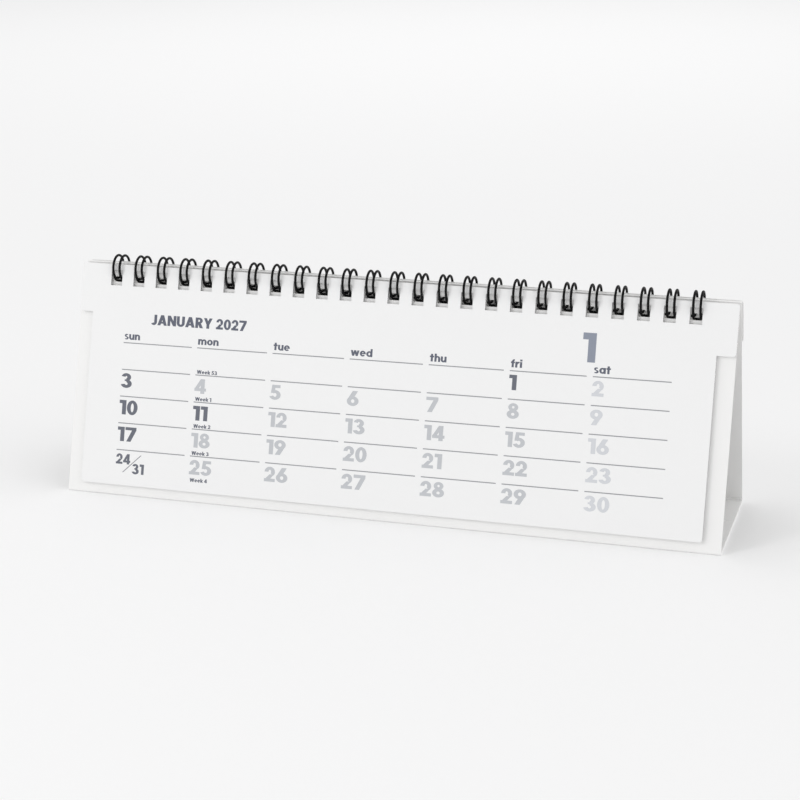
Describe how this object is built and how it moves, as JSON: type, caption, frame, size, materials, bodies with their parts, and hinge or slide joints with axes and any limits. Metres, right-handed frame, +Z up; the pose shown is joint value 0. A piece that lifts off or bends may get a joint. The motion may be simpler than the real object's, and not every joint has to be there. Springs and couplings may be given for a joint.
{
  "type": "desk calendar",
  "caption": "Free-standing tent of folded board with month sheets and a turned cover hung on a black twin-loop wire along its ridge; the sheets turn over the wire.",
  "frame": {"origin": "on the table, under the middle of the whole object's extent", "axes": "+X to the reader's right along the wire, +Y to the rear, +Z up; the printed sheets face -Y"},
  "size_m": [0.231, 0.0544, 0.0811],
  "materials": {
    "board": "uncoated white board",
    "paper": "uncoated white paper",
    "wire": "satin black coated steel wire"
  },
  "bodies": {
    "stand": {"front_board": "board", "base_front_panel": "board", "base_rear_panel": "board", "rear_board": "board", "twin_loop_wire": "wire"},
    "january": {"january_sheet": "paper"},
    "february": {"february_sheet": "paper"},
    "march": {"march_sheet": "paper"},
    "april": {"april_sheet": "paper"},
    "may": {"may_sheet": "paper"},
    "june": {"june_sheet": "paper"},
    "july": {"july_sheet": "paper"},
    "august": {"august_sheet": "paper"},
    "september": {"september_sheet": "paper"},
    "october": {"october_sheet": "paper"},
    "november": {"november_sheet": "paper"},
    "december": {"december_sheet": "paper"},
    "cover": {"cover_sheet": "paper"}
  },
  "joints": [
    {"name": "december_turn", "type": "hinge", "parent": "stand", "child": "december", "pos_m": [0, -0.0036, 0.0766], "axis": [-1, 0, 0], "range_deg": [0, 4.5]},
    {"name": "november_turn", "type": "hinge", "parent": "december", "child": "november", "pos_m": [0, -0.0036, 0.0766], "axis": [-1, 0, 0], "range_deg": [0, 4.5]},
    {"name": "october_turn", "type": "hinge", "parent": "november", "child": "october", "pos_m": [0, -0.0036, 0.0766], "axis": [-1, 0, 0], "range_deg": [0, 4.5]},
    {"name": "september_turn", "type": "hinge", "parent": "october", "child": "september", "pos_m": [0, -0.0036, 0.0766], "axis": [-1, 0, 0], "range_deg": [0, 4.5]},
    {"name": "august_turn", "type": "hinge", "parent": "september", "child": "august", "pos_m": [0, -0.0036, 0.0766], "axis": [-1, 0, 0], "range_deg": [0, 4.5]},
    {"name": "july_turn", "type": "hinge", "parent": "august", "child": "july", "pos_m": [0, -0.0036, 0.0766], "axis": [-1, 0, 0], "range_deg": [0, 4.5]},
    {"name": "june_turn", "type": "hinge", "parent": "july", "child": "june", "pos_m": [0, -0.0036, 0.0766], "axis": [-1, 0, 0], "range_deg": [0, 4.5]},
    {"name": "may_turn", "type": "hinge", "parent": "june", "child": "may", "pos_m": [0, -0.0036, 0.0766], "axis": [-1, 0, 0], "range_deg": [0, 4.5]},
    {"name": "april_turn", "type": "hinge", "parent": "may", "child": "april", "pos_m": [0, -0.0036, 0.0766], "axis": [-1, 0, 0], "range_deg": [0, 4.5]},
    {"name": "march_turn", "type": "hinge", "parent": "april", "child": "march", "pos_m": [0, -0.0036, 0.0766], "axis": [-1, 0, 0], "range_deg": [0, 4.5]},
    {"name": "february_turn", "type": "hinge", "parent": "march", "child": "february", "pos_m": [0, -0.0036, 0.0766], "axis": [-1, 0, 0], "range_deg": [0, 4.5]},
    {"name": "january_turn", "type": "hinge", "parent": "february", "child": "january", "pos_m": [0, -0.0036, 0.0766], "axis": [-1, 0, 0], "range_deg": [0, 90]},
    {"name": "cover_turn", "type": "hinge", "parent": "stand", "child": "cover", "pos_m": [0, -0.0036, 0.0766], "axis": [-1, 0, 0], "range_deg": [-135, 0]}
  ]
}
